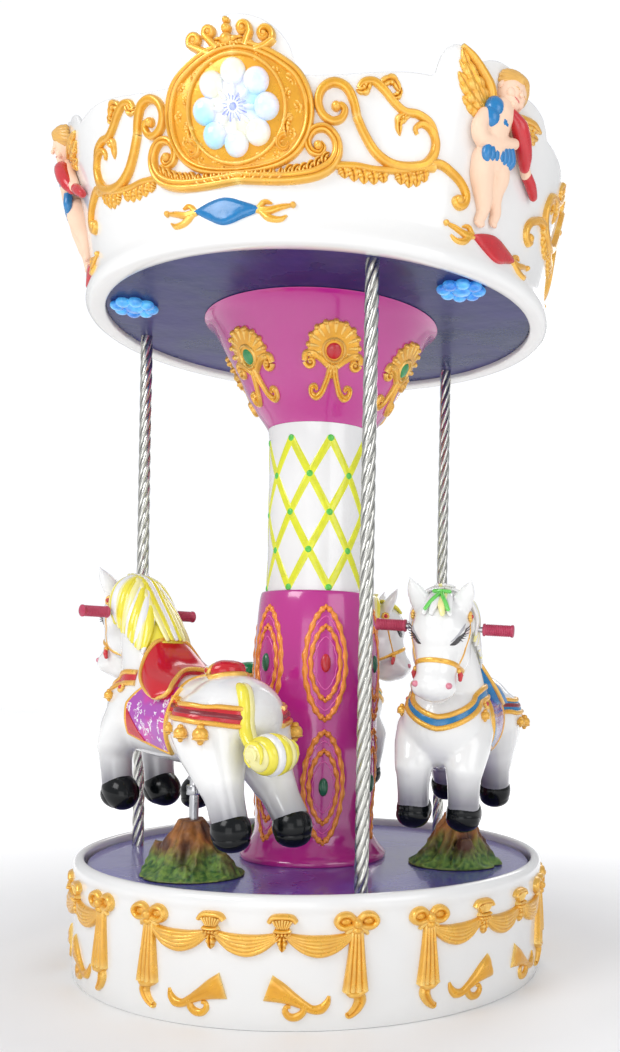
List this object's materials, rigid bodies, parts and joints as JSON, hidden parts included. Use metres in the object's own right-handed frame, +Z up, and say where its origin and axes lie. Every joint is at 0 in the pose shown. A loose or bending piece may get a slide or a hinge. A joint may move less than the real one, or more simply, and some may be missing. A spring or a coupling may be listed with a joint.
{
  "type": "children's carousel",
  "caption": "Children's carousel: a fixed drum, a turning deck with horses on posts, a central column and an ornamented crown.",
  "frame": {"origin": "on the floor, at the centre of the drum's underside", "axes": "+Z up along the axis that the deck, column and crown turn about; -Y towards one crown medallion"},
  "size_m": [1.396, 1.4574, 2.28],
  "materials": {
    "gloss_white": "glossy gel coat",
    "gilt": "gold paint",
    "deck_violet": "glossy gel coat",
    "magenta": "glossy gel coat",
    "navy": "polished gel coat",
    "steel": "polished stainless steel",
    "rock": "painted moulded rock",
    "flesh": "satin paint",
    "pale_lamp": "frosted lit plastic",
    "cyan_lamp": "frosted lit plastic",
    "saddle_red": "glossy paint",
    "saddle_blue": "glossy paint",
    "saddle_green": "glossy paint",
    "grip_red": "matte rubber sleeves on a steel bar"
  },
  "bodies": {
    "base": {"base_drum": "gloss_white", "swag_set_1": "gilt", "swag_set_2": "gilt", "swag_set_3": "gilt", "swag_set_4": "gilt", "swag_set_5": "gilt", "swag_set_6": "gilt"},
    "carousel": {"deck": "deck_violet", "column_lower": "magenta", "column_band": "gloss_white", "column_flare": "magenta", "ceiling": "navy", "crown_wall": "gloss_white", "medallion_1": "gilt", "medallion_2": "gilt", "medallion_3": "gilt", "medallion_lamp_1": "pale_lamp", "medallion_lamp_2": "pale_lamp", "medallion_lamp_3": "pale_lamp", "cherub_1": "flesh", "cherub_2": "flesh", "cherub_3": "flesh", "pole_1": "steel", "pole_2": "steel", "pole_3": "steel", "ceiling_lamp_1": "cyan_lamp", "ceiling_lamp_2": "cyan_lamp", "ceiling_lamp_3": "cyan_lamp", "rock_1": "rock", "rock_2": "rock", "rock_3": "rock"},
    "horse_1": {"horse_1_body": "gloss_white", "horse_1_saddle": "saddle_red", "horse_1_handlebar": "grip_red", "horse_1_post": "steel"},
    "horse_2": {"horse_2_body": "gloss_white", "horse_2_saddle": "saddle_blue", "horse_2_handlebar": "grip_red", "horse_2_post": "steel"},
    "horse_3": {"horse_3_body": "gloss_white", "horse_3_saddle": "saddle_green", "horse_3_handlebar": "grip_red", "horse_3_post": "steel"}
  },
  "joints": [
    {"name": "carousel_turn", "type": "hinge", "parent": "base", "child": "carousel", "pos_m": [0, 0, 0.26], "axis": [0, 0, 1], "continuous": true},
    {"name": "horse_1_lift", "type": "slide", "parent": "carousel", "child": "horse_1", "axis": [0, 0, 1], "range_m": [-0.04, 0.04]},
    {"name": "horse_2_lift", "type": "slide", "parent": "carousel", "child": "horse_2", "axis": [0, 0, 1], "range_m": [-0.04, 0.04]},
    {"name": "horse_3_lift", "type": "slide", "parent": "carousel", "child": "horse_3", "axis": [0, 0, 1], "range_m": [-0.04, 0.04]}
  ]
}
